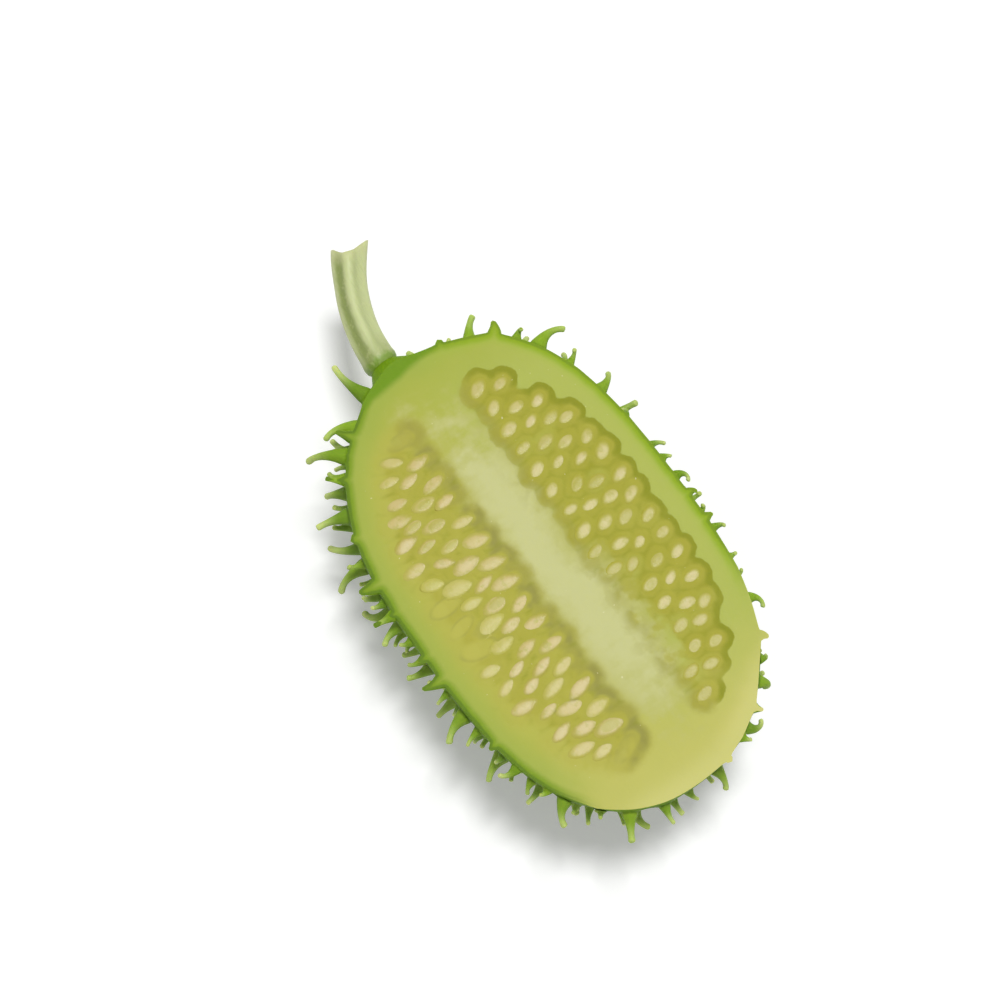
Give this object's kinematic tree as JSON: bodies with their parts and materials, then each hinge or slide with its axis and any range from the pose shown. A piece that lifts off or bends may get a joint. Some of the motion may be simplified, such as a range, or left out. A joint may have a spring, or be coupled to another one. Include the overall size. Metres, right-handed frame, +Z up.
{
  "type": "west indian gherkin half",
  "caption": "Spiny West Indian gherkin fruit cut lengthwise, one half lying on its back with the seeded cut face up and a short ribbed stalk.",
  "frame": {"origin": "on the surface that the half rests on, under the middle of the bounding box", "axes": "+X along the fruit from the stalk end to the blossom end, +Z up, square to the cut face, +Y to the right hand of +X seen from below the cut face, which is the side of the right seed band"},
  "size_m": [0.0852, 0.0452, 0.022],
  "materials": {
    "rind": "waxy green rind with soft spines, and wet pale yellow-green flesh on the cut face",
    "stalk": "ribbed, finely hairy, matt",
    "seed": "wet cream seed coat"
  },
  "bodies": {
    "root": {"seed_row_left_01": "seed", "seed_row_left_02": "seed", "seed_row_left_03": "seed", "seed_row_left_04": "seed", "seed_row_left_05": "seed", "seed_row_left_06": "seed", "seed_row_left_07": "seed", "seed_row_left_08": "seed", "seed_row_left_09": "seed", "seed_row_left_10": "seed", "seed_row_left_11": "seed", "seed_row_left_12": "seed", "seed_row_left_13": "seed", "seed_row_left_14": "seed", "seed_row_left_15": "seed", "seed_row_left_16": "seed", "seed_row_right_01": "seed", "seed_row_right_02": "seed", "seed_row_right_03": "seed", "seed_row_right_04": "seed", "seed_row_right_05": "seed", "seed_row_right_06": "seed", "seed_row_right_07": "seed", "seed_row_right_08": "seed", "seed_row_right_09": "seed", "seed_row_right_10": "seed", "seed_row_right_11": "seed", "seed_row_right_12": "seed", "seed_row_right_13": "seed", "seed_row_right_14": "seed", "seed_row_right_15": "seed", "seed_row_right_16": "seed", "fruit_half": "rind", "stalk": "stalk"}
  },
  "joints": []
}
